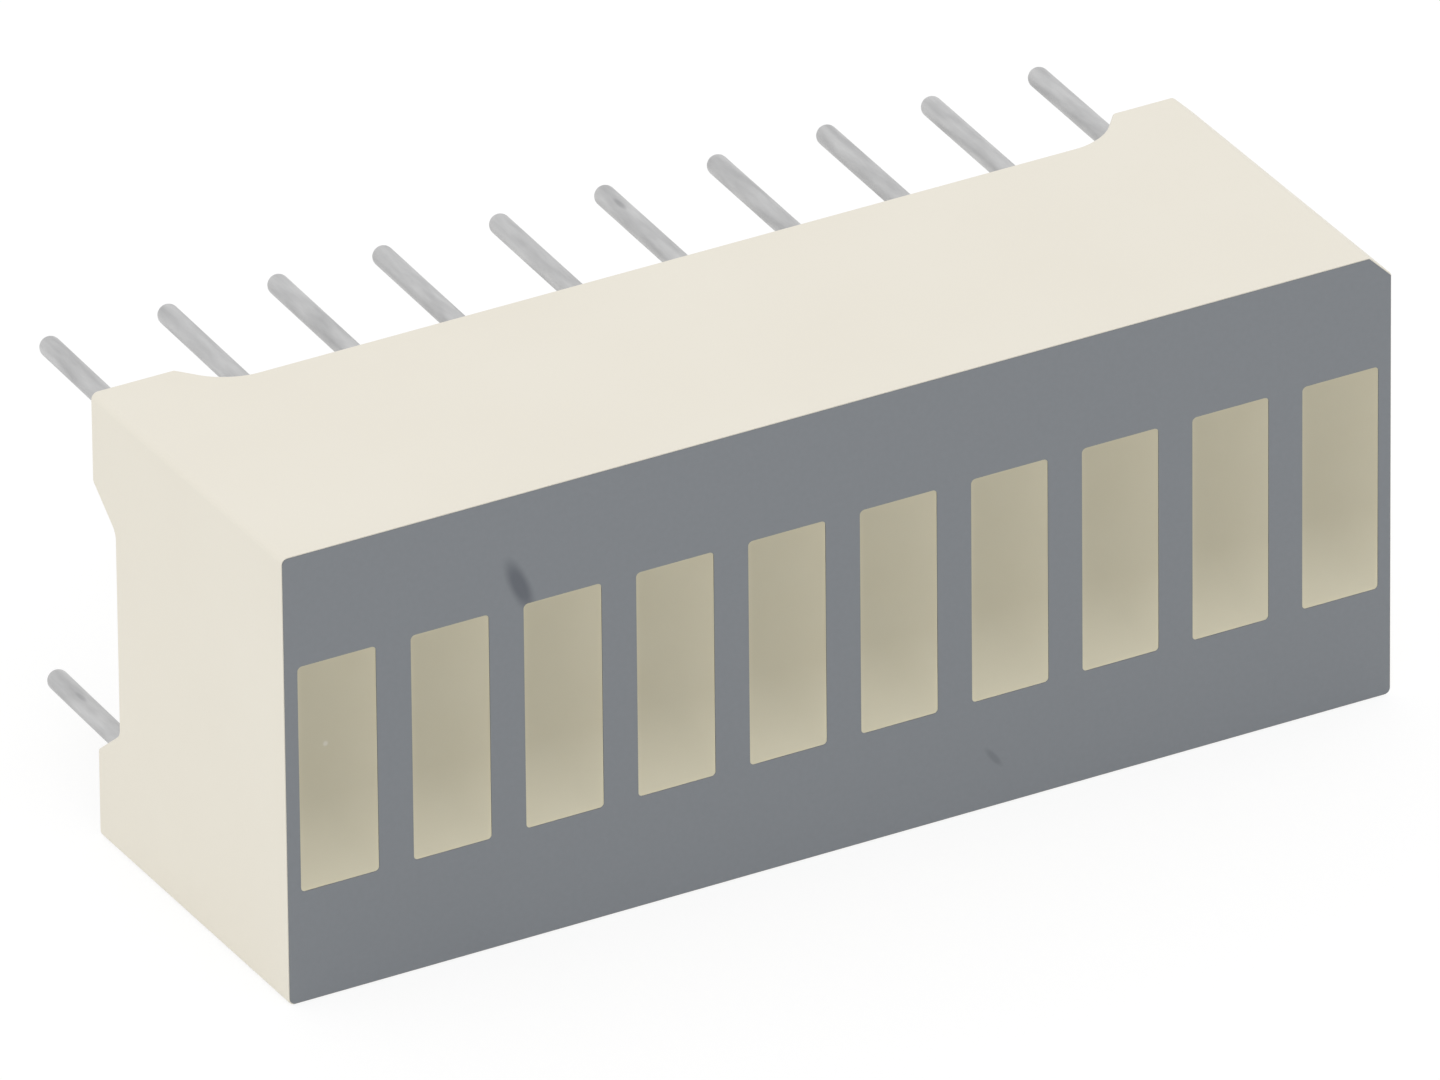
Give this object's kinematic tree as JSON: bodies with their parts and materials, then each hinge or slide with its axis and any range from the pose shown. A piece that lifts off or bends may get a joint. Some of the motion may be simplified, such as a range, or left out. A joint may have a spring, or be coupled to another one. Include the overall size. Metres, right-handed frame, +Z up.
{
  "type": "led bar graph",
  "caption": "Through-hole LED bar graph: cream moulded block with corner feet, a grey face with a row of milky light segments, and two rows of round tinned pins.",
  "frame": {"origin": "middle of the pin pattern on the plane of the foot tips, where the part meets its circuit board", "axes": "+X along the bar towards the bevelled first-pin edge, +Y the way the pins point (the display face looks to -Y), +Z up across the bar, with the part lying on its long side"},
  "size_m": [0.0252, 0.0122, 0.01],
  "materials": {
    "housing_plastic": "moulded cream plastic, satin",
    "face_ink": "screen-printed grey ink, matt",
    "segment_resin": "milky diffusing resin, satin",
    "tinned_wire": "dip-tinned wire, dull grey",
    "solder": "solder, bright",
    "board_laminate": "laminate, pale",
    "potting_resin": "cast milky resin, glossy",
    "die_crystal": "sawn crystal",
    "bond_gold": "drawn gold wire"
  },
  "bodies": {
    "root": {"housing": "housing_plastic", "face_print": "face_ink", "circuit_board": "board_laminate", "solder_joints": "solder", "back_potting": "potting_resin", "pin_1": "tinned_wire", "pin_2": "tinned_wire", "pin_3": "tinned_wire", "pin_4": "tinned_wire", "pin_5": "tinned_wire", "pin_6": "tinned_wire", "pin_7": "tinned_wire", "pin_8": "tinned_wire", "pin_9": "tinned_wire", "pin_10": "tinned_wire", "pin_11": "tinned_wire", "pin_12": "tinned_wire", "pin_13": "tinned_wire", "pin_14": "tinned_wire", "pin_15": "tinned_wire", "pin_16": "tinned_wire", "pin_17": "tinned_wire", "pin_18": "tinned_wire", "pin_19": "tinned_wire", "pin_20": "tinned_wire", "segment_1": "segment_resin", "segment_2": "segment_resin", "segment_3": "segment_resin", "segment_4": "segment_resin", "segment_5": "segment_resin", "segment_6": "segment_resin", "segment_7": "segment_resin", "segment_8": "segment_resin", "segment_9": "segment_resin", "segment_10": "segment_resin", "led_die_1": "die_crystal", "led_die_2": "die_crystal", "led_die_3": "die_crystal", "led_die_4": "die_crystal", "led_die_5": "die_crystal", "led_die_6": "die_crystal", "led_die_7": "die_crystal", "led_die_8": "die_crystal", "led_die_9": "die_crystal", "led_die_10": "die_crystal", "bond_wire_1": "bond_gold", "bond_wire_2": "bond_gold", "bond_wire_3": "bond_gold", "bond_wire_4": "bond_gold", "bond_wire_5": "bond_gold", "bond_wire_6": "bond_gold", "bond_wire_7": "bond_gold", "bond_wire_8": "bond_gold", "bond_wire_9": "bond_gold", "bond_wire_10": "bond_gold"}
  },
  "joints": []
}
